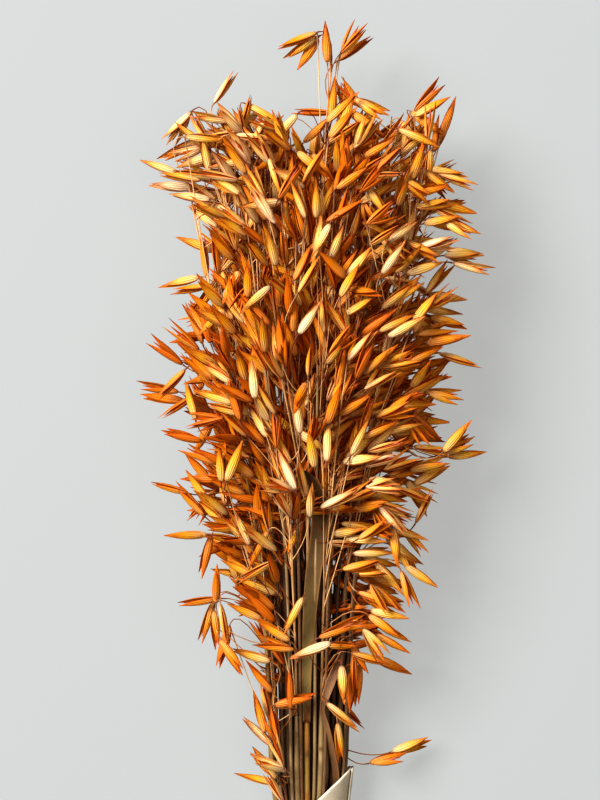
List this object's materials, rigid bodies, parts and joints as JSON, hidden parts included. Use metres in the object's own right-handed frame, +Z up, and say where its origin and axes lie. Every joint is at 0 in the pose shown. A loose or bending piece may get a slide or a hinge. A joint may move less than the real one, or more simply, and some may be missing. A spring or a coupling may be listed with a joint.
{
  "type": "dried oats bundle",
  "caption": "Bundle of dried orange oats lying on its side, with fanned heads of spikelets, straw stems, a paper wrap and a twine tie.",
  "frame": {"origin": "the spot where the paper wrap's flat underside rests on the surface", "axes": "+Y from the cut stems to the heads, +Z up from the surface, +X across the bundle"},
  "size_m": [0.2127, 0.6263, 0.1203],
  "materials": {
    "straw": "dry matte straw, olive to taupe",
    "dyed_oat": "papery dyed husk, golden orange with redder tips",
    "dry_leaf": "dry creased leaf",
    "paper": "uncoated wrapping paper",
    "twine": "twisted natural fibre"
  },
  "bodies": {
    "root": {"culm_01": "straw", "culm_02": "straw", "culm_03": "straw", "culm_04": "straw", "culm_05": "straw", "culm_06": "straw", "culm_07": "straw", "culm_08": "straw", "culm_09": "straw", "culm_10": "straw", "culm_11": "straw", "culm_12": "straw", "culm_13": "straw", "culm_14": "straw", "culm_15": "straw", "culm_16": "straw", "culm_17": "straw", "culm_18": "straw", "culm_19": "straw", "culm_20": "straw", "culm_21": "straw", "culm_22": "straw", "culm_23": "straw", "culm_24": "straw", "culm_25": "straw", "culm_26": "straw", "panicle_01": "dyed_oat", "panicle_02": "dyed_oat", "panicle_03": "dyed_oat", "panicle_04": "dyed_oat", "panicle_05": "dyed_oat", "panicle_06": "dyed_oat", "panicle_07": "dyed_oat", "panicle_08": "dyed_oat", "panicle_09": "dyed_oat", "panicle_10": "dyed_oat", "panicle_11": "dyed_oat", "panicle_12": "dyed_oat", "panicle_13": "dyed_oat", "panicle_14": "dyed_oat", "panicle_15": "dyed_oat", "panicle_16": "dyed_oat", "panicle_17": "dyed_oat", "panicle_18": "dyed_oat", "panicle_19": "dyed_oat", "panicle_20": "dyed_oat", "panicle_21": "dyed_oat", "panicle_22": "dyed_oat", "panicle_23": "dyed_oat", "panicle_24": "dyed_oat", "panicle_25": "dyed_oat", "panicle_26": "dyed_oat", "leaf_blade": "dry_leaf", "leaf_folded": "dry_leaf", "paper_wrap": "paper", "tie": "twine"}
  },
  "joints": []
}
